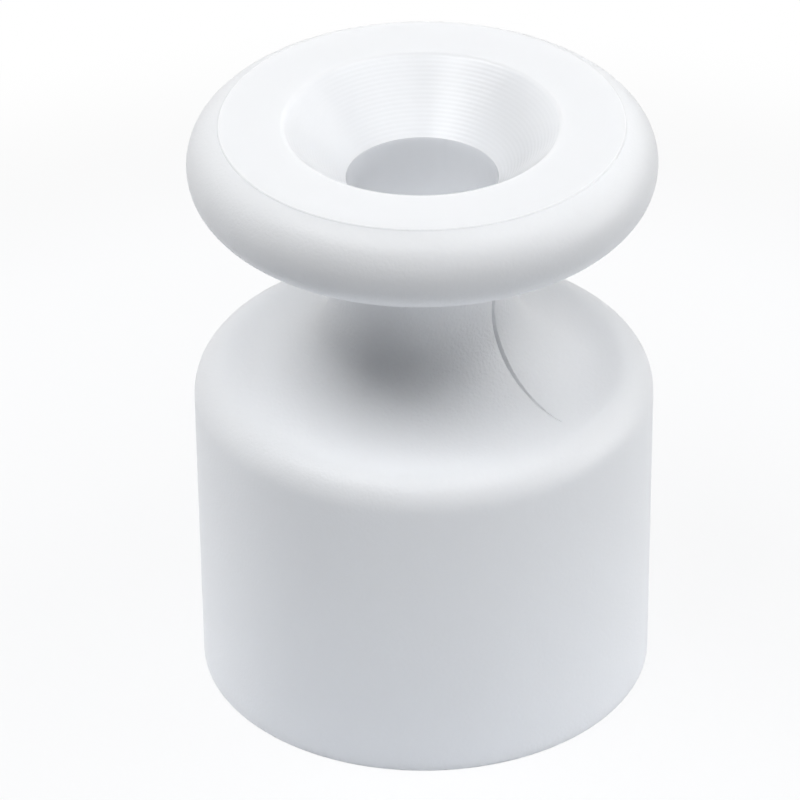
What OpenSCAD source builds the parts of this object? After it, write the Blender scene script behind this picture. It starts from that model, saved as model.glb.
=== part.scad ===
/* [Moulding] */
// Height from the face that sits on the wall to the top of the head
height = 24; // [21:0.5:30]
// Diameter of the head at its widest
head_d = 18; // [16:0.5:24]
// Thickness of the head, whose rim is a full round
head_t = 3.4; // [2.6:0.1:5]
// Distance from the head's widest edge in to the edge of its flat top face
face_inset = 1.2; // [0.6:0.1:1.6]
// Diameter of the neck at its narrowest
neck_d = 7; // [6.5:0.1:9]
// Radius of the round groove that holds the wire
groove_r = 3.625; // [3:0.125:4.25]
// Diameter of the base where it meets the wall
base_d = 17.64; // [16:0.02:24]
// Draft of the base's side, in degrees, wider towards the shoulder
base_draft = 0.5; // [0:0.1:2]
// Radius of the rounded shoulder of the base
shoulder_r = 1.35; // [0.8:0.05:2]

/* [Underside] */
// Thickness of the base's side wall at its foot
wall_t = 2; // [1.4:0.1:2.6]
// Thickness of plastic between the underside pocket and the groove
roof_t = 2; // [1.4:0.1:4]
// Diameter of the boss round the screw hole
boss_d = 7; // [5.6:0.1:8]
// How far the boss stands back from the wall face
boss_setback = 0.4; // [0.1:0.1:1]
// Number of ribs between the boss and the side wall
rib_count = 4; // [3:1:8]
// Thickness of a rib
rib_t = 1.2; // [0.8:0.1:1.6]
// How far the ribs stand back from the wall face
rib_setback = 1; // [0.5:0.1:3]

/* [Screw hole] */
// Diameter of the countersink's mouth on the top face
sink_d = 10.6; // [8:0.1:12]
// Depth of the screw head's top below the top face
head_depth = 5.35; // [4.6:0.05:6.5]
// Gap round the screw head
head_gap = 0.125; // [0.05:0.025:0.3]
// Gap round the screw's thread
thread_gap = 0.2; // [0.05:0.05:0.4]
// Gap under the screw head's cone, measured along the screw
seat_gap = 0.06; // [0.02:0.01:0.2]

/* [Screw] */
// Length of the screw from the top of its head to its tip
screw_l = 30; // [26:1:45]
// Diameter over the screw's thread
screw_d = 3; // [2.5:0.1:3.4]
// Diameter of the plain shank above the thread
shank_d = 2.3; // [1.9:0.1:2.5]
// Diameter at the root of the thread
root_d = 2; // [1.6:0.1:2.2]
// Diameter of the screw's head
screw_head_d = 5.6; // [5:0.1:6]
// Height of the straight edge round the head
head_land = 0.25; // [0.1:0.05:0.5]
// Length of the thread, with the tip
thread_l = 20; // [12:1:22]
// Axial distance between turns of the thread
pitch = 1.35; // [1:0.05:1.8]
// Length of the tapered tip
tip_l = 4; // [3:0.5:5]
// Length of the cross recess from end to end
cross_l = 3; // [2.4:0.1:3.4]
// Width of each arm of the cross recess
cross_w = 0.9; // [0.6:0.1:1.2]
// Depth of the cross recess
cross_depth = 1.3; // [0.8:0.1:1.5]

/* [Hidden] */
$fn = 96;
// Overcut of a hole past the face that it opens through
over = 1;

// Head and groove, as radius and height
rim_r = head_t / 2;
rim_mid = [head_d / 2 - rim_r, height - rim_r];
head_z = height - head_t;
groove_mid = [neck_d / 2 + groove_r, head_z - groove_r];
crest_z = head_z - 2 * groove_r;
neck_block_r = min(groove_mid[0], rim_mid[0]);

// Base side, a sloping line that ends just inside the shoulder's arc, so that the two cross
tuck = 0.002;
shoulder_z = crest_z - shoulder_r;
side_gap = shoulder_r - tuck;
shoulder_mid_r = base_d / 2 + shoulder_z * tan(base_draft) - side_gap / cos(base_draft);
side_top = [
    shoulder_mid_r + side_gap * cos(base_draft),
    shoulder_z - side_gap * sin(base_draft)
];

// Underside pocket
pocket_r = base_d / 2 - wall_t;
pocket_top = crest_z - roof_t;

// Screw, with its 90 degree head seated deep in the hole
screw_z = height - head_depth;
screw_head_r = screw_head_d / 2;
cone_h = screw_head_r - shank_d / 2;
thread_top = screw_l - thread_l;

// Hole, whose conical seat runs parallel to the screw head's cone
recess_r = screw_head_r + head_gap;
hole_r = screw_d / 2 + thread_gap;
seat_top = screw_z - head_land - seat_gap + head_gap;
seat_bottom = seat_top - (recess_r - hole_r);
sink_h = sink_d / 2 - recess_r;

// Thread: rows of points that follow the helix, a crest and three at the root in each turn
thread_sides = 16;
row_shares = [0, 0.14, 0.5, 0.86];
row_rises = [1, 0, 0, 0];
rows = len(row_shares);
// Length of the thread's root that is sunk in the shank
sunk = 0.2;
root_l = sunk + thread_l;
// Lengths of plain root above the helix and below its last turn
lead_in = sunk + 0.15 * pitch;
lead_out = 0.3 * pitch;
turns = floor((root_l - lead_in - lead_out) / pitch) - 1;
last_row = rows * turns;
// How far the taper's own apex lies past the tip, which is a little blunt
tip_blunt = 0.4;

module body_section() {
    difference() {
        union() {
            translate([0, head_z])
                square([rim_mid[0], head_t]);
            translate([0, rim_mid[1]])
                square([head_d / 2 - face_inset, rim_r]);
            translate(rim_mid)
                circle(rim_r);
            translate([0, crest_z])
                square([neck_block_r, head_z - crest_z]);
            polygon([
                [0, 0],
                [base_d / 2, 0],
                side_top,
                [shoulder_mid_r, shoulder_z],
                [shoulder_mid_r, crest_z],
                [0, crest_z]
            ]);
            translate([shoulder_mid_r, shoulder_z])
                circle(shoulder_r);
        }
        translate(groove_mid)
            circle(groove_r);
    }
}

// Stepped hole: countersink, straight recess, conical seat and shank hole
module screw_hole() {
    translate([0, 0, -over])
        cylinder(h = height + over, r = hole_r);
    translate([0, 0, seat_bottom])
        cylinder(h = seat_top - seat_bottom, r1 = hole_r, r2 = recess_r);
    translate([0, 0, seat_top])
        cylinder(h = height - seat_top, r = recess_r);
    translate([0, 0, height - sink_h])
        cylinder(h = sink_h + over, r1 = recess_r, r2 = recess_r + sink_h + over);
}

// Space under the base, round the boss and between the ribs
module underside_pocket() {
    difference() {
        translate([0, 0, -over])
            cylinder(h = pocket_top + over, r = pocket_r);
        translate([0, 0, boss_setback])
            cylinder(h = pocket_top, d = boss_d);
        for (i = [0 : rib_count - 1])
            rotate([0, 0, i * 360 / rib_count])
                translate([0, -rib_t / 2, rib_setback])
                    cube([base_d, rib_t, pocket_top]);
    }
}

module insulator_body() {
    color("whitesmoke")
        difference() {
            rotate_extrude()
                body_section();
            underside_pocket();
            screw_hole();
        }
}

// Depth of a point of the helix below the thread's flat upper end
function thread_depth(row, side) =
    lead_in + pitch * (floor(row / rows) + row_shares[row % rows] + side / thread_sides);

// Radius there: the root, with a crest that grows in its second turn, all drawn in at the tip
function thread_radius(row, depth) =
    let (
        grown = max(0, min(1, (depth - lead_in) / pitch - 1)),
        drawn_in = min(1, (root_l + tip_blunt - depth) / (tip_l + tip_blunt)),
        crest = (screw_d - root_d) / 2 * row_rises[row % rows]
    )
    drawn_in * (root_d / 2 + grown * crest);

function thread_point(r, side, depth) =
    let (a = -360 * side / thread_sides)
    [r * cos(a), r * sin(a), -depth];

function helix_point(row, side) =
    let (depth = thread_depth(row, side))
    thread_point(thread_radius(row, depth), side, depth);

// Place of a helix point in the list: the first side has one turn of rows more than the others
function helix_index(row, side) =
    side == 0 ? row
    : side == thread_sides ? row + rows
    : last_row + rows + 1 + (side - 1) * (last_row + 1) + row;

// Two triangles between four corners, given clockwise as seen from outside
function quad(a, b, c, d) = [[a, b, c], [a, c, d]];

// Right-hand thread with a flat upper end and a pointed tip
module thread() {
    helix = concat(
        [for (row = [0 : last_row + rows]) helix_point(row, 0)],
        [for (side = [1 : thread_sides - 1], row = [0 : last_row]) helix_point(row, side)]
    );
    rim = [for (side = [0 : thread_sides - 1]) thread_point(root_d / 2, side, 0)];
    rim_at = len(helix);
    tip_at = rim_at + thread_sides;
    last_side = thread_sides - 1;
    turn = [for (side = [0 : last_side], row = [0 : last_row - 1])
        each quad(
            helix_index(row, side + 1),
            helix_index(row, side),
            helix_index(row + 1, side),
            helix_index(row + 1, side + 1)
        )];
    collar = [for (side = [0 : last_side - 1])
        each quad(
            rim_at + side + 1,
            rim_at + side,
            helix_index(0, side),
            helix_index(0, side + 1)
        )];
    collar_end = helix_index(0, last_side);
    collar_close = concat(
        quad(rim_at, rim_at + last_side, collar_end, 0),
        [for (row = [0 : rows - 1]) [row + 1, row, collar_end]]
    );
    point = concat(
        [for (side = [0 : last_side])
            [helix_index(last_row, side + 1), helix_index(last_row, side), tip_at]],
        [for (row = [last_row : last_row + rows - 1]) [row, row + 1, tip_at]]
    );
    upper_end = [for (side = [0 : last_side]) rim_at + side];
    polyhedron(
        concat(helix, rim, [[0, 0, -root_l]]),
        concat(turn, collar, collar_close, point, [upper_end])
    );
}

// Cross recess in the head
module cross_recess() {
    for (a = [0, 90])
        rotate([0, 0, a])
            translate([-cross_l / 2, -cross_w / 2, -cross_depth])
                cube([cross_l, cross_w, cross_depth + over]);
}

module fixing_screw() {
    color("silver")
        translate([0, 0, screw_z]) {
            difference() {
                rotate_extrude()
                    polygon([
                        [0, 0],
                        [screw_head_r, 0],
                        [screw_head_r, -head_land],
                        [shank_d / 2, -head_land - cone_h],
                        [shank_d / 2, -thread_top],
                        [0, -thread_top]
                    ]);
                cross_recess();
            }
            translate([0, 0, sunk - thread_top])
                thread();
        }
}

insulator_body();
fixing_screw();
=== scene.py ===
import math

import bmesh
import bpy
from bpy.props import FloatProperty, FloatVectorProperty, IntProperty, PointerProperty
from mathutils import Matrix, Vector


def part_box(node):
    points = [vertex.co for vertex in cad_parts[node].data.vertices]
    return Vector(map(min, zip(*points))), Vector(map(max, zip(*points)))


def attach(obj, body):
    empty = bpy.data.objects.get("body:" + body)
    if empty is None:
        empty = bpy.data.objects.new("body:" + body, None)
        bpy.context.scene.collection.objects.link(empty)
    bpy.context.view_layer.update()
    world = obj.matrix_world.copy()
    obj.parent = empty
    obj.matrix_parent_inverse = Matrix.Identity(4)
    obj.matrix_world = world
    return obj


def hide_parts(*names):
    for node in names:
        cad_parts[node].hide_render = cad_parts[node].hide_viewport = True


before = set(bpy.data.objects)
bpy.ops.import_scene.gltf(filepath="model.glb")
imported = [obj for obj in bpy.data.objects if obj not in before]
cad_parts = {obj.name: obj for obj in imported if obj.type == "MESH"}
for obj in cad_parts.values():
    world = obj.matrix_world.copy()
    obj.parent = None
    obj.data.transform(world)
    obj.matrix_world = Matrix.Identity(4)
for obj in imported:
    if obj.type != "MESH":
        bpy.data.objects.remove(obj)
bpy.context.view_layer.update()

bl_info = {
    "name": "Knob Insulator",
    "version": (1, 0, 0),
    "blender": (4, 5, 0),
    "location": "View3D > Sidebar > Insulator",
    "description": "Models a moulded knob insulator and its fixing screw over the packed frame",
    "category": "Object",
}

MM = 0.001
MOULDING_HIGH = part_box("insulator_body")[1]
SCREW_LOW, SCREW_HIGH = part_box("fixing_screw")

# Points closer than this are one point
MERGE_DISTANCE = 0.0001 * MM
# Edges that turn more than this are shaded as sharp
SHARP_ANGLE = math.radians(30)
# How far a cutting shape reaches past the face that it cuts
OVERCUT = 0.5 * MM


def length(name, description, millimetres):
    """A size in the scene's own metres, given in millimetres."""
    return FloatProperty(
        name=name, description=description, default=millimetres * MM, unit="LENGTH", precision=5
    )


def turn(name, description, degrees):
    """An angle, given in degrees."""
    return FloatProperty(
        name=name, description=description, default=math.radians(degrees), subtype="ANGLE"
    )


def colour(name, description, red, green, blue):
    """A colour in linear light."""
    return FloatVectorProperty(
        name=name, description=description, default=(red, green, blue), subtype="COLOR", min=0, max=1
    )


def amount(name, description, default):
    """A plain number."""
    return FloatProperty(name=name, description=description, default=default, precision=3)


class MouldingSizes(bpy.types.PropertyGroup):
    """Sizes of the plastic moulding"""

    height: length("Height", "From the wall face to the top of the head", MOULDING_HIGH.z / MM)
    head_radius: length("Head radius", "Radius of the head at its widest", MOULDING_HIGH.x / MM)
    rim_radius: length("Rim radius", "Radius of the head's full round rim", 1.7)
    face_inset: length("Face inset", "From the widest edge in to the edge of the flat top face", 1.2)
    neck_radius: length("Neck radius", "Radius of the neck at its narrowest", 3.5)
    groove_radius: length("Groove radius", "Radius of the round wire groove", 3.625)
    shoulder_radius: length("Shoulder radius", "Radius of the base's rounded shoulder", 1.35)
    foot_radius: length("Foot radius", "Radius of the base where it meets the wall", 8.82)
    draft: turn("Draft", "Slope of the base's side, wider towards the shoulder", 0.5)
    edge_radius: length("Edge radius", "Rounding of the foot's edges", 0.12)
    wall: length("Wall", "Thickness of the base's side wall at its foot", 2.0)
    roof: length("Roof", "Thickness of plastic between the underside pocket and the groove", 2.0)
    boss_radius: length("Boss radius", "Radius of the boss round the screw hole", 3.5)
    boss_setback: length("Boss setback", "How far the boss stands back from the wall face", 0.4)
    rib_count: IntProperty(name="Ribs", description="Number of ribs between boss and wall", default=4)
    rib_thickness: length("Rib thickness", "Thickness of a rib", 1.2)
    rib_setback: length("Rib setback", "How far the ribs stand back from the wall face", 1.0)
    sink_radius: length("Countersink radius", "Radius of the countersink's mouth", 5.3)
    mouth_rounding: length("Mouth rounding", "Rounding of the edge of the countersink's mouth", 0.3)
    recess_radius: length("Recess radius", "Radius of the straight hole over the screw's head", 2.925)
    hole_radius: length("Hole radius", "Radius of the hole round the screw's shank", 1.7)
    seat_height: length("Seat height", "Height of the upper edge of the screw's conical seat", 18.465)


class MouldMarks(bpy.types.PropertyGroup):
    """Fine marks that the mould leaves on the plastic"""

    ring_count: IntProperty(name="Rings", description="Turning marks on the countersink", default=18)
    ring_depth: length("Ring depth", "Depth of a turning mark", 0.005)
    seam_angle: turn("Seam angle", "Angle of the mould seam from the front, towards the right", 49.2)
    seam_width: length("Seam width", "Width of the seam's shallow side", 0.16)
    seam_edge: length("Seam edge", "Width of the seam's steep side", 0.05)
    seam_depth: length("Seam depth", "Depth of the seam", 0.6)
    seam_end: length("Seam end", "Radius at which the seam has faded out on the base", 7.0)
    far_seam_end: length("Far seam end", "The same for the seam on the opposite side", 4.6)
    seam_fade: length("Seam fade", "Length over which the seam fades out", 3.0)


class ScrewSizes(bpy.types.PropertyGroup):
    """Sizes of the countersunk wood screw"""

    top: length("Top", "Height of the head's flat top over the wall face", SCREW_HIGH.z / MM)
    tip: length("Tip", "Height of the point over the wall face", SCREW_LOW.z / MM)
    head_radius: length("Head radius", "Radius of the head", SCREW_HIGH.x / MM)
    head_land: length("Head land", "Height of the straight edge round the head", 0.25)
    edge_radius: length("Edge radius", "Rounding of the head's upper edge", 0.1)
    shank_radius: length("Shank radius", "Radius of the plain shank", 1.15)
    root_radius: length("Root radius", "Radius at the root of the thread", 1.0)
    thread_radius: length("Thread radius", "Radius over the thread", 1.5)
    thread_length: length("Thread length", "Length of the thread with the point", 20.0)
    pitch: length("Pitch", "Distance between turns of the thread", 1.35)
    flank: length("Flank", "Length along the screw of one flank of the thread", 0.19)
    point_length: length("Point length", "Length of the tapered point", 4.0)
    cross_length: length("Cross length", "Length of the cross recess from end to end", 3.0)
    cross_width: length("Cross width", "Width of each arm of the cross recess", 0.9)
    cross_depth: length("Cross depth", "Depth of the cross recess", 1.3)


class Finishes(bpy.types.PropertyGroup):
    """Colours and surface finishes"""

    plastic: colour("Plastic", "Colour of the white plastic", 0.87, 0.885, 0.91)
    light_reach: length("Light reach", "How far light spreads inside the plastic", 0.5)
    smooth_roughness: amount("Smooth roughness", "Roughness of the hole and the face round it", 0.22)
    grained_roughness: amount("Grained roughness", "Roughness of the grained outside", 0.42)
    grain_size: length("Grain size", "Size of the spark-eroded grain", 0.12)
    grain_depth: length("Grain depth", "Depth of the grain in the groove", 0.035)
    grain_fade: length("Grain fade", "Depth of groove over which the grain grows to that", 0.5)
    outer_grain: amount("Outer grain", "Share of that depth on the rim and the base", 0.4)
    zinc: colour("Zinc", "Colour of the zinc plating", 0.56, 0.57, 0.59)
    zinc_roughness: amount("Zinc roughness", "Least roughness of the zinc plating", 0.24)
    zinc_dullness: amount("Zinc dullness", "Roughness that its dullest blotches add", 0.16)
    blotch_size: length("Blotch size", "Size of the blotches in the zinc", 0.6)
    blotch_depth: length("Blotch depth", "Depth of those blotches", 0.004)
    board: colour("Board", "Colour of the pale board under the object", 0.84, 0.87, 0.92)
    table: colour("Table", "Colour of the table round the board", 0.08, 0.08, 0.08)


class StageSettings(bpy.types.PropertyGroup):
    """Camera and light"""

    aim_height: length("Aim height", "Height of the point that the camera looks at", 12.0)
    camera_distance: length("Camera distance", "From that point to the camera", 269.9)
    camera_elevation: turn("Camera elevation", "Height of the camera over the horizon", 32.735)
    camera_roll: turn("Camera roll", "Tilt of the camera about its own axis", -0.43)
    lens: FloatProperty(name="Lens", description="Focal length in millimetres", default=312.2)
    board_radius: length("Board radius", "Radius of the pale board under the object", 30.0)
    board_fade: length("Board fade", "Width over which the board's edge fades into the table", 20.0)
    shadow: amount("Shadow", "How much of the board's own light and shade shows", 0.15)
    light_distance: length("Light distance", "From the object to each softbox", 600.0)
    glow_distance: length("Glow distance", "From the axis to the strip of light on the board", 29.0)
    glow_width: length("Glow width", "Width of that strip", 60.0)
    glow_depth: length("Glow depth", "Depth of that strip, front to back", 10.0)
    glow_height: length("Glow height", "Height of that strip over the board", 0.5)


class SectionPen:
    """Draws a turned section as a chain of edges in the XZ plane, with X as the radius."""

    def __init__(self, radius, height):
        self.mesh = bmesh.new()
        self.tip = self.mesh.verts.new((radius, 0, height))
        self.start = self.tip

    def line(self, radius, height, steps=1):
        """Draws a straight stretch."""
        first = self.tip.co.copy()
        last = Vector((radius, 0, height))
        for step in range(1, steps + 1):
            made = bmesh.ops.extrude_vert_indiv(self.mesh, verts=[self.tip])
            self.tip = made["verts"][0]
            self.tip.co = first.lerp(last, step / steps)

    def arc(self, radius, height, degrees, steps):
        """Draws a round stretch about a centre, clockwise if the angle is above zero."""
        made = bmesh.ops.spin(
            self.mesh,
            geom=[self.tip],
            cent=(radius, 0, height),
            axis=(0, 1, 0),
            angle=math.radians(degrees),
            steps=steps,
        )
        self.tip = next(part for part in made["geom_last"] if isinstance(part, bmesh.types.BMVert))

    def close(self):
        """Joins the end of the chain to its start."""
        self.mesh.edges.new((self.tip, self.start))


def revolve(mesh, sectors):
    """Turns a drawn section once round Z, in sectors that each have an angle and a number of steps."""
    front = mesh.verts[:] + mesh.edges[:]
    for angle, steps in sectors:
        made = bmesh.ops.spin(mesh, geom=front, axis=(0, 0, 1), angle=angle, steps=steps)
        front = made["geom_last"]
    tidy_shell(mesh)


def tidy_shell(mesh):
    """Merges doubled points and turns all faces outwards."""
    bmesh.ops.remove_doubles(mesh, verts=mesh.verts[:], dist=MERGE_DISTANCE)
    bmesh.ops.recalc_face_normals(mesh, faces=mesh.faces[:])


def new_object(name, mesh):
    """Puts a finished bmesh into the scene as an object at the origin."""
    data = bpy.data.meshes.new(name)
    mesh.to_mesh(data)
    mesh.free()
    made = bpy.data.objects.new(name, data)
    bpy.context.scene.collection.objects.link(made)
    return made


def combine(piece, tool_mesh, operation):
    """Joins a closed shape to a piece, or cuts it out, and leaves one closed mesh."""
    tool = new_object("tool", tool_mesh)
    step = piece.modifiers.new("combine", "BOOLEAN")
    step.operation = operation
    step.solver = "EXACT"
    step.object = tool
    bpy.context.view_layer.objects.active = piece
    bpy.ops.object.modifier_apply(modifier=step.name)
    tool_data = tool.data
    bpy.data.objects.remove(tool)
    bpy.data.meshes.remove(tool_data)


def finish_piece(piece, material, body, node):
    """Shades a piece, checks that it is closed and ties it to its place in the frame."""
    data = piece.data
    mesh = bmesh.new()
    mesh.from_mesh(data)
    bmesh.ops.remove_doubles(mesh, verts=mesh.verts[:], dist=MERGE_DISTANCE)
    open_edges = [edge for edge in mesh.edges if not edge.is_manifold]
    mesh.to_mesh(data)
    mesh.free()
    if open_edges:
        raise RuntimeError(f"{piece.name} has {len(open_edges)} open edges")
    data.shade_smooth()
    data.set_sharp_from_angle(angle=SHARP_ANGLE)
    data.materials.clear()
    data.materials.append(material)
    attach(piece, body)
    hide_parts(node)


def draw_countersink(pen, sizes, marks):
    """Draws the countersink from its lower edge up: a cone with turning marks and a round mouth."""
    cone_angle = 45
    mouth_r = sizes.sink_radius + sizes.mouth_rounding * math.tan(math.radians(cone_angle / 2))
    mouth_z = sizes.height - sizes.mouth_rounding
    out_of_plastic = Vector((-1, 0, 1)).normalized()
    low = Vector((sizes.recess_radius, 0, sizes.height - sizes.sink_radius + sizes.recess_radius))
    high = Vector((mouth_r, 0, mouth_z)) + out_of_plastic * sizes.mouth_rounding
    along = (high - low) / marks.ring_count
    deepest_share = 0.5
    pen.line(low.x, low.z)
    for ring in range(marks.ring_count):
        deepest = low + along * (ring + deepest_share) - out_of_plastic * marks.ring_depth
        ring_end = low + along * (ring + 1)
        pen.line(deepest.x, deepest.z, 2)
        pen.line(ring_end.x, ring_end.z, 2)
    pen.arc(mouth_r, mouth_z, cone_angle, 6)


def draw_moulding(sizes, marks):
    """Draws the closed section of the moulding, from the foot of its hole up and round the outside."""
    pen = SectionPen(sizes.hole_radius, sizes.boss_setback)

    # Hole, conical seat, recess and countersink
    pen.line(sizes.hole_radius, sizes.seat_height - sizes.recess_radius + sizes.hole_radius, 8)
    pen.line(sizes.recess_radius, sizes.seat_height, 2)
    draw_countersink(pen, sizes, marks)

    # Flat top face, whose rounded edge stands a little over the round rim
    rim_r = sizes.head_radius - sizes.rim_radius
    rim_z = sizes.height - sizes.rim_radius
    face_r = sizes.head_radius - sizes.face_inset
    rim_start = math.acos((face_r - rim_r) / sizes.rim_radius)
    step = sizes.rim_radius * (1 - math.sin(rim_start))
    pen.line(face_r - step, sizes.height, 4)
    pen.arc(face_r - step, sizes.height - step, 90, 4)
    pen.arc(rim_r, rim_z, 90 + math.degrees(rim_start), 44)

    # Groove, as a half circle between the head's underside and the crest of the base
    groove_r = sizes.neck_radius + sizes.groove_radius
    groove_z = sizes.height - 2 * sizes.rim_radius - sizes.groove_radius
    pen.line(groove_r, groove_z + sizes.groove_radius, 2)
    pen.arc(groove_r, groove_z, -180, 56)

    # Shoulder and side of the base
    crest_z = groove_z - sizes.groove_radius
    shoulder_z = crest_z - sizes.shoulder_radius
    slope = math.tan(sizes.draft)
    shoulder_r = sizes.foot_radius + shoulder_z * slope - sizes.shoulder_radius / math.cos(sizes.draft)
    pen.line(shoulder_r, crest_z, 3)
    pen.arc(shoulder_r, shoulder_z, 90 + math.degrees(sizes.draft), 18)
    edge = sizes.edge_radius
    pen.line(sizes.foot_radius + edge * slope, edge, 8)
    pen.line(sizes.foot_radius, edge)
    pen.arc(sizes.foot_radius - edge, edge, 90, 4)

    # Foot, underside pocket and boss
    pocket_r = sizes.foot_radius - sizes.wall
    pocket_z = crest_z - sizes.roof
    pen.line(pocket_r + edge, 0, 2)
    pen.arc(pocket_r + edge, edge, 90, 4)
    pen.line(pocket_r, pocket_z, 4)
    pen.line(sizes.boss_radius, pocket_z, 4)
    pen.line(sizes.boss_radius, sizes.boss_setback, 4)
    pen.close()
    return pen.mesh


def press_seam(mesh, sizes, marks):
    """Sinks the mould seam into the neck and the dish of the base, on two opposite sides."""
    groove_r = sizes.neck_radius + sizes.groove_radius
    groove_z = sizes.height - 2 * sizes.rim_radius - sizes.groove_radius
    outward = Vector((math.sin(marks.seam_angle), -math.cos(marks.seam_angle), 0))
    sideways = Vector((-outward.y, outward.x, 0))
    for point in mesh.verts:
        place = point.co
        radius = math.hypot(place.x, place.y)
        in_groove = abs(place.z - groove_z) <= sizes.groove_radius + MERGE_DISTANCE
        if radius < sizes.neck_radius - MERGE_DISTANCE or not in_groove:
            continue
        side = math.copysign(1, place.dot(outward))
        offset = side * place.dot(sideways)
        reach = marks.seam_width if offset > 0 else marks.seam_edge
        end = marks.seam_end if side > 0 else marks.far_seam_end
        fade = min(1, max(0, (end - radius) / marks.seam_fade))
        if abs(offset) >= reach * fade:
            continue
        depth = marks.seam_depth * fade * (1 - abs(offset) / (reach * fade))
        radial = Vector((place.x, place.y, 0)) / radius
        centre = radial * max(groove_r, radius) + Vector((0, 0, groove_z))
        point.co += (place - centre).normalized() * depth


def make_ribs(sizes):
    """Ribs across the underside pocket, each from inside the boss to inside the wall."""
    mesh = bmesh.new()
    crest_z = sizes.height - 2 * sizes.rim_radius - 2 * sizes.groove_radius
    inner = (sizes.hole_radius + sizes.boss_radius) / 2
    outer = sizes.foot_radius - sizes.wall / 2
    top = crest_z - sizes.roof / 2
    size = Vector((outer - inner, sizes.rib_thickness, top - sizes.rib_setback))
    place = Vector((inner + outer, 0, top + sizes.rib_setback)) / 2
    for rib in range(sizes.rib_count):
        block = bmesh.ops.create_cube(mesh, size=1)["verts"]
        bmesh.ops.scale(mesh, vec=size, verts=block)
        bmesh.ops.translate(mesh, vec=place, verts=block)
        around = Matrix.Rotation(2 * math.pi * rib / sizes.rib_count, 3, "Z")
        bmesh.ops.rotate(mesh, matrix=around, verts=block)
    return mesh


class INSULATOR_OT_moulding(bpy.types.Operator):
    """Models the white plastic moulding with its hole, groove, seam and underside"""

    bl_idname = "insulator.moulding"
    bl_label = "Moulding"

    def execute(self, context):
        sizes = context.scene.insulator_moulding
        marks = context.scene.insulator_marks
        mesh = draw_moulding(sizes, marks)
        # The turn starts just before a seam, and is finer across both of them
        seam_sector = math.radians(5)
        seam_start = marks.seam_angle - math.pi / 2 - seam_sector / 2
        bmesh.ops.rotate(mesh, matrix=Matrix.Rotation(seam_start, 3, "Z"), verts=mesh.verts[:])
        half_turn = [(seam_sector, 26), (math.pi - seam_sector, 116)]
        revolve(mesh, half_turn * 2)
        press_seam(mesh, sizes, marks)
        piece = new_object("moulding", mesh)
        combine(piece, make_ribs(sizes), "UNION")
        finish_piece(piece, white_plastic(context), "insulator", "insulator_body")
        return {"FINISHED"}


def draw_screw(sizes):
    """Draws the screw's head and plain shank, from the axis at its top to the axis at its end."""
    pen = SectionPen(0, sizes.top)
    edge = sizes.edge_radius
    land_z = sizes.top - sizes.head_land
    cone_z = land_z - sizes.head_radius + sizes.shank_radius
    shank_end = sizes.tip + sizes.thread_length
    # The shank's end tapers to inside the thread's core
    taper = 1.5 * (sizes.shank_radius - sizes.root_radius)
    pen.line(sizes.head_radius - edge, sizes.top, 6)
    pen.arc(sizes.head_radius - edge, sizes.top - edge, 90, 4)
    pen.line(sizes.head_radius, land_z)
    pen.line(sizes.shank_radius, cone_z, 4)
    pen.line(sizes.shank_radius, shank_end, 4)
    pen.line(sizes.shank_radius - taper, shank_end - taper)
    pen.line(0, shank_end - taper)
    return pen.mesh


def make_thread(sizes):
    """A right-hand thread on its own core, which starts inside the shank."""
    steps_per_turn = 40
    turns_in_shank = 1.4
    start_z = sizes.tip + sizes.thread_length + turns_in_shank * sizes.pitch
    blunt = 0.3 * MM
    steps = math.floor(((start_z - sizes.tip) / sizes.pitch - 1) * steps_per_turn)
    crest_width = 0.06 * MM

    # One turn's section: root, flank, crest, flank and root again
    pen = SectionPen(sizes.root_radius, start_z)
    pen.line(sizes.thread_radius, start_z - sizes.flank, 2)
    pen.line(sizes.thread_radius, start_z - sizes.flank - crest_width)
    pen.line(sizes.root_radius, start_z - 2 * sizes.flank - crest_width, 2)
    pen.line(sizes.root_radius, start_z - sizes.pitch, 3)
    mesh = pen.mesh
    bmesh.ops.spin(
        mesh,
        geom=mesh.verts[:] + mesh.edges[:],
        axis=(0, 0, 1),
        dvec=(0, 0, -sizes.pitch / steps_per_turn),
        angle=-2 * math.pi * steps / steps_per_turn,
        steps=steps,
    )
    bmesh.ops.remove_doubles(mesh, verts=mesh.verts[:], dist=MERGE_DISTANCE)

    # The crest grows in one turn below the shank, and all draws in to the point
    for place in mesh.verts:
        x, y, z = place.co
        radius = math.hypot(x, y)
        grown = min(1, max(0, (start_z - z) / sizes.pitch - turns_in_shank))
        drawn_in = min(1, (z - sizes.tip + blunt) / (sizes.point_length + blunt))
        wanted = drawn_in * (sizes.root_radius + grown * (radius - sizes.root_radius))
        place.co = (x * wanted / radius, y * wanted / radius, z)

    open_edges = [edge for edge in mesh.edges if edge.is_boundary]
    ends = bmesh.ops.holes_fill(mesh, edges=open_edges, sides=0)["faces"]
    bmesh.ops.triangulate(mesh, faces=ends)
    tidy_shell(mesh)
    return mesh


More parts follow.
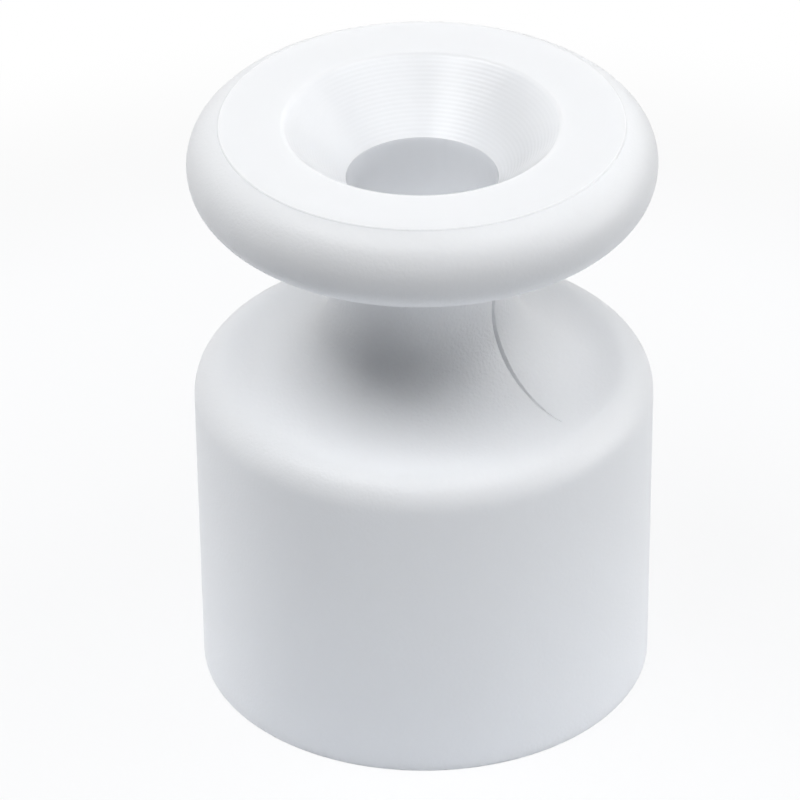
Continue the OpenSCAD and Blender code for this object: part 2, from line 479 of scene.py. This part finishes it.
def make_cross(sizes):
    """A cross that narrows downwards, as the driver's recess."""
    mesh = bmesh.new()
    narrowing = 0.6
    hub = bmesh.ops.create_cube(mesh, size=1)["verts"]
    bmesh.ops.scale(mesh, vec=(sizes.cross_width, sizes.cross_width, sizes.cross_depth), verts=hub)
    mesh.normal_update()
    sides = [face for face in mesh.faces if abs(face.normal.z) < 0.5]
    arms = bmesh.ops.extrude_discrete_faces(mesh, faces=sides)["faces"]
    for arm in arms:
        reach = arm.normal * (sizes.cross_length - sizes.cross_width) / 2
        bmesh.ops.translate(mesh, vec=reach, verts=arm.verts[:])
    lower = [point for point in mesh.verts if point.co.z < 0]
    bmesh.ops.scale(mesh, vec=(narrowing, narrowing, 1), verts=lower)
    middle = sizes.top - sizes.cross_depth / 2
    bmesh.ops.translate(mesh, vec=(0, 0, middle), verts=mesh.verts[:])
    upper = [point for point in mesh.verts if point.co.z > middle]
    bmesh.ops.translate(mesh, vec=(0, 0, OVERCUT), verts=upper)
    tidy_shell(mesh)
    return mesh


class INSULATOR_OT_screw(bpy.types.Operator):
    """Models the zinc-plated countersunk wood screw"""

    bl_idname = "insulator.screw"
    bl_label = "Screw"

    def execute(self, context):
        sizes = context.scene.insulator_screw
        mesh = draw_screw(sizes)
        revolve(mesh, [(math.pi, 48)] * 2)
        piece = new_object("wood_screw", mesh)
        combine(piece, make_thread(sizes), "UNION")
        combine(piece, make_cross(sizes), "DIFFERENCE")
        finish_piece(piece, zinc_plating(context), "screw", "fixing_screw")
        return {"FINISHED"}


def new_material(name):
    """An empty node material with its output."""
    material = bpy.data.materials.new(name)
    material.use_nodes = True
    material.node_tree.nodes.clear()
    output = material.node_tree.nodes.new("ShaderNodeOutputMaterial")
    return material, material.node_tree, output


def add_node(tree, kind, **settings):
    """A node, with its settings and the values of its inputs by name."""
    node = tree.nodes.new(kind)
    for name, value in settings.items():
        if name in node.bl_rna.properties:
            setattr(node, name, value)
        else:
            node.inputs[name.replace("_", " ").title()].default_value = value
    return node


def white_plastic(context):
    """White moulded plastic: smooth in the hole and on the face, and finely grained elsewhere."""
    finishes = context.scene.insulator_finishes
    sizes = context.scene.insulator_moulding
    material, tree, output = new_material("moulded_plastic")
    link = tree.links.new
    shader = add_node(tree, "ShaderNodeBsdfPrincipled")
    shader.inputs["Base Color"].default_value = (*finishes.plastic, 1)
    shader.inputs["IOR"].default_value = 1.46
    shader.inputs["Subsurface Weight"].default_value = 1
    shader.inputs["Subsurface Radius"].default_value = (1, 1, 1)
    shader.inputs["Subsurface Scale"].default_value = finishes.light_reach
    link(shader.outputs["BSDF"], output.inputs["Surface"])

    # A cone that opens upwards parts the smooth hole and face from the spark-eroded outside
    places = add_node(tree, "ShaderNodeTexCoord")
    axes = add_node(tree, "ShaderNodeSeparateXYZ")
    link(places.outputs["Object"], axes.inputs["Vector"])
    flat = add_node(tree, "ShaderNodeVectorMath", operation="MULTIPLY")
    flat.inputs[1].default_value = (1, 1, 0)
    link(places.outputs["Object"], flat.inputs[0])
    radius = add_node(tree, "ShaderNodeVectorMath", operation="LENGTH")
    link(flat.outputs["Vector"], radius.inputs[0])
    cone_slope = 1.1
    cone_height = add_node(tree, "ShaderNodeMath", operation="MULTIPLY_ADD")
    cone_height.inputs[1].default_value = -cone_slope
    link(radius.outputs["Value"], cone_height.inputs[0])
    link(axes.outputs["Z"], cone_height.inputs[2])
    face_edge = sizes.height - cone_slope * (sizes.head_radius - sizes.face_inset)
    smooth_from = 0.1 * MM
    grained_from = 0.06 * MM
    grained = add_node(tree, "ShaderNodeMapRange")
    grained.inputs["From Min"].default_value = face_edge + smooth_from
    grained.inputs["From Max"].default_value = face_edge + grained_from
    link(cone_height.outputs["Value"], grained.inputs["Value"])

    grain = add_node(tree, "ShaderNodeTexNoise")
    grain.inputs["Scale"].default_value = 1 / finishes.grain_size
    grain.inputs["Detail"].default_value = 2
    link(places.outputs["Object"], grain.inputs["Vector"])

    roughness = add_node(tree, "ShaderNodeMapRange")
    roughness.inputs["To Min"].default_value = finishes.smooth_roughness
    roughness.inputs["To Max"].default_value = finishes.grained_roughness
    link(grained.outputs["Result"], roughness.inputs["Value"])
    link(roughness.outputs["Result"], shader.inputs["Roughness"])

    # The grain is at its deepest in the groove
    groove_z = sizes.height - 2 * sizes.rim_radius - sizes.groove_radius
    from_groove = add_node(tree, "ShaderNodeMath", operation="SUBTRACT")
    from_groove.inputs[1].default_value = groove_z
    link(axes.outputs["Z"], from_groove.inputs[0])
    off_middle = add_node(tree, "ShaderNodeMath", operation="ABSOLUTE")
    link(from_groove.outputs["Value"], off_middle.inputs[0])
    fade_end = sizes.groove_radius - 0.2 * MM
    grain_share = add_node(tree, "ShaderNodeMapRange")
    grain_share.inputs["From Min"].default_value = fade_end - finishes.grain_fade
    grain_share.inputs["From Max"].default_value = fade_end
    grain_share.inputs["To Min"].default_value = 1
    grain_share.inputs["To Max"].default_value = finishes.outer_grain
    link(off_middle.outputs["Value"], grain_share.inputs["Value"])
    strength = add_node(tree, "ShaderNodeMath", operation="MULTIPLY")
    link(grained.outputs["Result"], strength.inputs[0])
    link(grain_share.outputs["Result"], strength.inputs[1])
    bump = add_node(tree, "ShaderNodeBump")
    bump.inputs["Distance"].default_value = finishes.grain_depth
    link(grain.outputs["Fac"], bump.inputs["Height"])
    link(strength.outputs["Value"], bump.inputs["Strength"])
    link(bump.outputs["Normal"], shader.inputs["Normal"])
    return material


def zinc_plating(context):
    """Bright zinc over rolled steel, with a faint blotchy sheen."""
    finishes = context.scene.insulator_finishes
    material, tree, output = new_material("zinc_plating")
    link = tree.links.new
    shader = add_node(tree, "ShaderNodeBsdfPrincipled")
    shader.inputs["Base Color"].default_value = (*finishes.zinc, 1)
    shader.inputs["Metallic"].default_value = 1
    link(shader.outputs["BSDF"], output.inputs["Surface"])

    places = add_node(tree, "ShaderNodeTexCoord")
    blotches = add_node(tree, "ShaderNodeTexNoise")
    blotches.inputs["Scale"].default_value = 1 / finishes.blotch_size
    blotches.inputs["Detail"].default_value = 4
    link(places.outputs["Object"], blotches.inputs["Vector"])
    roughness = add_node(tree, "ShaderNodeMapRange")
    roughness.inputs["From Min"].default_value = 0.3
    roughness.inputs["From Max"].default_value = 0.7
    roughness.inputs["To Min"].default_value = finishes.zinc_roughness
    roughness.inputs["To Max"].default_value = finishes.zinc_roughness + finishes.zinc_dullness
    link(blotches.outputs["Fac"], roughness.inputs["Value"])
    link(roughness.outputs["Result"], shader.inputs["Roughness"])
    bump = add_node(tree, "ShaderNodeBump")
    bump.inputs["Distance"].default_value = finishes.blotch_depth
    link(blotches.outputs["Fac"], bump.inputs["Height"])
    link(bump.outputs["Normal"], shader.inputs["Normal"])
    return material


def seen_rays(tree):
    """One for rays that show a thing directly or in a reflection, and none for rays that only light."""
    path = add_node(tree, "ShaderNodeLightPath")
    total = path.outputs["Is Camera Ray"]
    for other in ("Is Glossy Ray", "Is Transmission Ray"):
        either = add_node(tree, "ShaderNodeMath", operation="MAXIMUM")
        tree.links.new(total, either.inputs[0])
        tree.links.new(path.outputs[other], either.inputs[1])
        total = either.outputs["Value"]
    return total


def studio_floor(context):
    """A pale board on a dark table: both are seen as white, and the board keeps a soft shadow."""
    finishes = context.scene.insulator_finishes
    stage = context.scene.insulator_stage
    material, tree, output = new_material("studio_floor")
    link = tree.links.new
    places = add_node(tree, "ShaderNodeTexCoord")
    distance = add_node(tree, "ShaderNodeVectorMath", operation="LENGTH")
    link(places.outputs["Object"], distance.inputs[0])
    on_board = add_node(tree, "ShaderNodeMapRange", interpolation_type="SMOOTHSTEP")
    on_board.inputs["From Min"].default_value = stage.board_radius + stage.board_fade
    on_board.inputs["From Max"].default_value = stage.board_radius
    link(distance.outputs["Value"], on_board.inputs["Value"])

    surface = add_node(tree, "ShaderNodeMix", data_type="RGBA")
    surface.inputs["A"].default_value = (*finishes.table, 1)
    surface.inputs["B"].default_value = (*finishes.board, 1)
    link(on_board.outputs["Result"], surface.inputs["Factor"])
    lit = add_node(tree, "ShaderNodeBsdfDiffuse")
    link(surface.outputs["Result"], lit.inputs["Color"])

    shown = add_node(tree, "ShaderNodeEmission")
    white_share = add_node(tree, "ShaderNodeMapRange")
    white_share.inputs["To Min"].default_value = 1
    white_share.inputs["To Max"].default_value = 1 - stage.shadow
    link(on_board.outputs["Result"], white_share.inputs["Value"])
    share = add_node(tree, "ShaderNodeMath", operation="MULTIPLY")
    link(seen_rays(tree), share.inputs[0])
    link(white_share.outputs["Result"], share.inputs[1])
    mix = add_node(tree, "ShaderNodeMixShader")
    link(share.outputs["Value"], mix.inputs["Fac"])
    link(lit.outputs["BSDF"], mix.inputs[1])
    link(shown.outputs["Emission"], mix.inputs[2])
    link(mix.outputs["Shader"], output.inputs["Surface"])
    return material


def white_world(context):
    """A surround that is seen as white and lights nothing."""
    world = bpy.data.worlds.new("studio")
    world.use_nodes = True
    tree = world.node_tree
    tree.nodes.clear()
    background = add_node(tree, "ShaderNodeBackground")
    background.inputs["Color"].default_value = (1, 1, 1, 1)
    output = add_node(tree, "ShaderNodeOutputWorld")
    tree.links.new(seen_rays(tree), background.inputs["Strength"])
    tree.links.new(background.outputs["Background"], output.inputs["Surface"])
    context.scene.world = world


def around(aim, azimuth, elevation, distance):
    """The point in that direction from the aim, with azimuth 0 in front and 90 at the right."""
    level = math.cos(elevation) * distance
    rise = math.sin(elevation) * distance
    return aim + Vector((math.sin(azimuth) * level, -math.cos(azimuth) * level, rise))


def add_softbox(context, name, azimuth, elevation, power, width, height, shiny=True):
    """A rectangular light that faces the middle of the object, and that may leave no shine on it.

    Its angles are in degrees, its power is in watts and its sizes are in metres.
    """
    stage = context.scene.insulator_stage
    aim = Vector((0, 0, stage.aim_height))
    light = bpy.data.lights.new(name, "AREA")
    light.shape = "RECTANGLE"
    light.size = width
    light.size_y = height
    light.energy = power
    lamp = bpy.data.objects.new(name, light)
    lamp.location = around(aim, math.radians(azimuth), math.radians(elevation), stage.light_distance)
    lamp.rotation_euler = (aim - lamp.location).to_track_quat("-Z", "Y").to_euler()
    lamp.visible_glossy = shiny
    context.scene.collection.objects.link(lamp)


def add_floor_glow(context, power):
    """A strip of light on the board in front of the object, which faces up and isn't seen itself."""
    stage = context.scene.insulator_stage
    light = bpy.data.lights.new("floor_glow", "AREA")
    light.shape = "RECTANGLE"
    light.size = stage.glow_width
    light.size_y = stage.glow_depth
    light.energy = power
    lamp = bpy.data.objects.new("floor_glow", light)
    lamp.location = (0, -stage.glow_distance, stage.glow_height)
    lamp.rotation_euler = (math.pi, 0, 0)
    lamp.visible_camera = False
    context.scene.collection.objects.link(lamp)


def add_camera(context):
    """The camera, at the photograph's viewing angle and framing."""
    stage = context.scene.insulator_stage
    picture_side = 800
    aim_pixel = Vector((423.9, 388.5))
    aim = Vector((0, 0, stage.aim_height))
    data = bpy.data.cameras.new("camera")
    data.lens = stage.lens
    data.shift_x = 0.5 - aim_pixel.x / picture_side
    data.shift_y = aim_pixel.y / picture_side - 0.5
    data.clip_start = 0.01
    camera = bpy.data.objects.new("camera", data)
    camera.location = around(aim, 0, stage.camera_elevation, stage.camera_distance)
    facing = (aim - camera.location).to_track_quat("-Z", "Y").to_matrix()
    roll = Matrix.Rotation(stage.camera_roll, 3, "Z")
    camera.rotation_euler = (facing @ roll).to_euler()
    context.scene.collection.objects.link(camera)
    context.scene.camera = camera


class INSULATOR_OT_stage(bpy.types.Operator):
    """Sets the floor, the lights, the surround and the camera"""

    bl_idname = "insulator.stage"
    bl_label = "Stage"

    def execute(self, context):
        mesh = bmesh.new()
        bmesh.ops.create_grid(mesh, x_segments=1, y_segments=1, size=2)
        floor = new_object("floor", mesh)
        floor.data.materials.append(studio_floor(context))
        white_world(context)
        add_softbox(context, "left_high", azimuth=-60, elevation=63, power=2.0, width=0.45, height=0.25)
        add_softbox(context, "right_high", azimuth=52, elevation=62, power=1.6, width=0.6, height=0.3)
        add_softbox(context, "right_side", azimuth=90, elevation=14, power=1.3, width=0.5, height=0.3)
        add_softbox(context, "right_back", azimuth=150, elevation=30, power=0.85, width=1.0, height=0.4)
        # The low light behind would bite white patches out of the far edges if it shone in them
        add_softbox(
            context, "left_back", azimuth=-120, elevation=7, power=1.2, width=0.22, height=0.1, shiny=False
        )
        add_floor_glow(context, power=0.0025)
        add_camera(context)
        context.scene.view_settings.view_transform = "Standard"
        return {"FINISHED"}


class INSULATOR_PT_pieces(bpy.types.Panel):
    """Lists the pieces of the insulator"""

    bl_idname = "INSULATOR_PT_pieces"
    bl_label = "Knob Insulator"
    bl_space_type = "VIEW_3D"
    bl_region_type = "UI"
    bl_category = "Insulator"

    def draw(self, context):
        for operator in OPERATORS:
            self.layout.operator(operator.bl_idname)


SETTINGS = {
    "insulator_moulding": MouldingSizes,
    "insulator_marks": MouldMarks,
    "insulator_screw": ScrewSizes,
    "insulator_finishes": Finishes,
    "insulator_stage": StageSettings,
}
OPERATORS = (INSULATOR_OT_moulding, INSULATOR_OT_screw, INSULATOR_OT_stage)
CLASSES = (*SETTINGS.values(), *OPERATORS, INSULATOR_PT_pieces)


def register():
    for item in CLASSES:
        bpy.utils.register_class(item)
    for name, group in SETTINGS.items():
        setattr(bpy.types.Scene, name, PointerProperty(type=group))


def unregister():
    for name in SETTINGS:
        delattr(bpy.types.Scene, name)
    for item in reversed(CLASSES):
        bpy.utils.unregister_class(item)


def main():
    """Models every piece and the stage."""
    register()
    bpy.ops.insulator.moulding()
    bpy.ops.insulator.screw()
    bpy.ops.insulator.stage()


if __name__ == "__main__":
    main()
